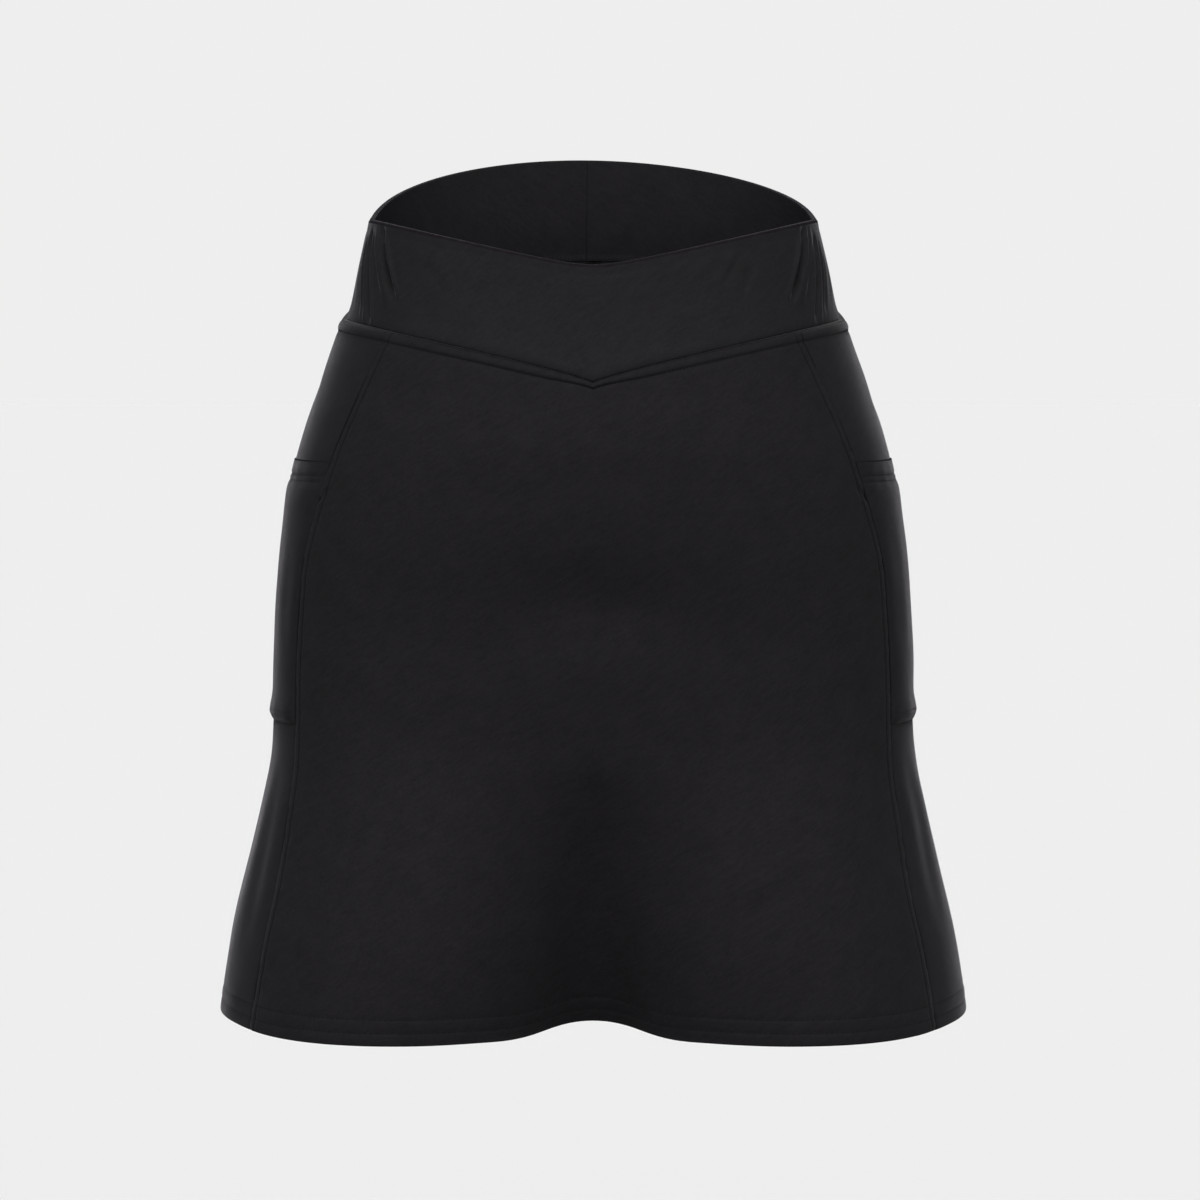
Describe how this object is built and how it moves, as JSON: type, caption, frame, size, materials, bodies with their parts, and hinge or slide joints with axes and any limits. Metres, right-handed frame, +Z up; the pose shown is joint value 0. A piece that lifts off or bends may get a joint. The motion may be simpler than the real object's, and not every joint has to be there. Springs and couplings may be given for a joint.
{
  "type": "tennis skort",
  "caption": "A-line sports skirt with a wide V-shaped waistband, princess seams, flat side pockets and short inner tights, in the hollow form it has when worn.",
  "frame": {"origin": "on the garment's middle line, in the hollow, level with the middle of the waistband at the sides, where the wearer's waist holds it", "axes": "+Z up towards the waist opening, the front faces -Y, +X is the wearer's left"},
  "size_m": [0.4094, 0.2574, 0.4669],
  "materials": {
    "band_knit": "smooth doubled nylon and elastane knit, black, slight sheen",
    "skirt_knit": "fine nylon and elastane knit, black, matt with a faint sheen at glancing angles",
    "tights_knit": "light stretch knit, black, matt"
  },
  "bodies": {
    "root": {"waistband_front": "band_knit", "waistband_back_left": "band_knit", "waistband_back_right": "band_knit", "skirt_front": "skirt_knit", "skirt_side_left": "skirt_knit", "skirt_side_right": "skirt_knit", "skirt_back": "skirt_knit", "pocket_left": "skirt_knit", "pocket_right": "skirt_knit", "shorts_front_left": "tights_knit", "shorts_front_right": "tights_knit", "shorts_back_left": "tights_knit", "shorts_back_right": "tights_knit"}
  },
  "joints": []
}
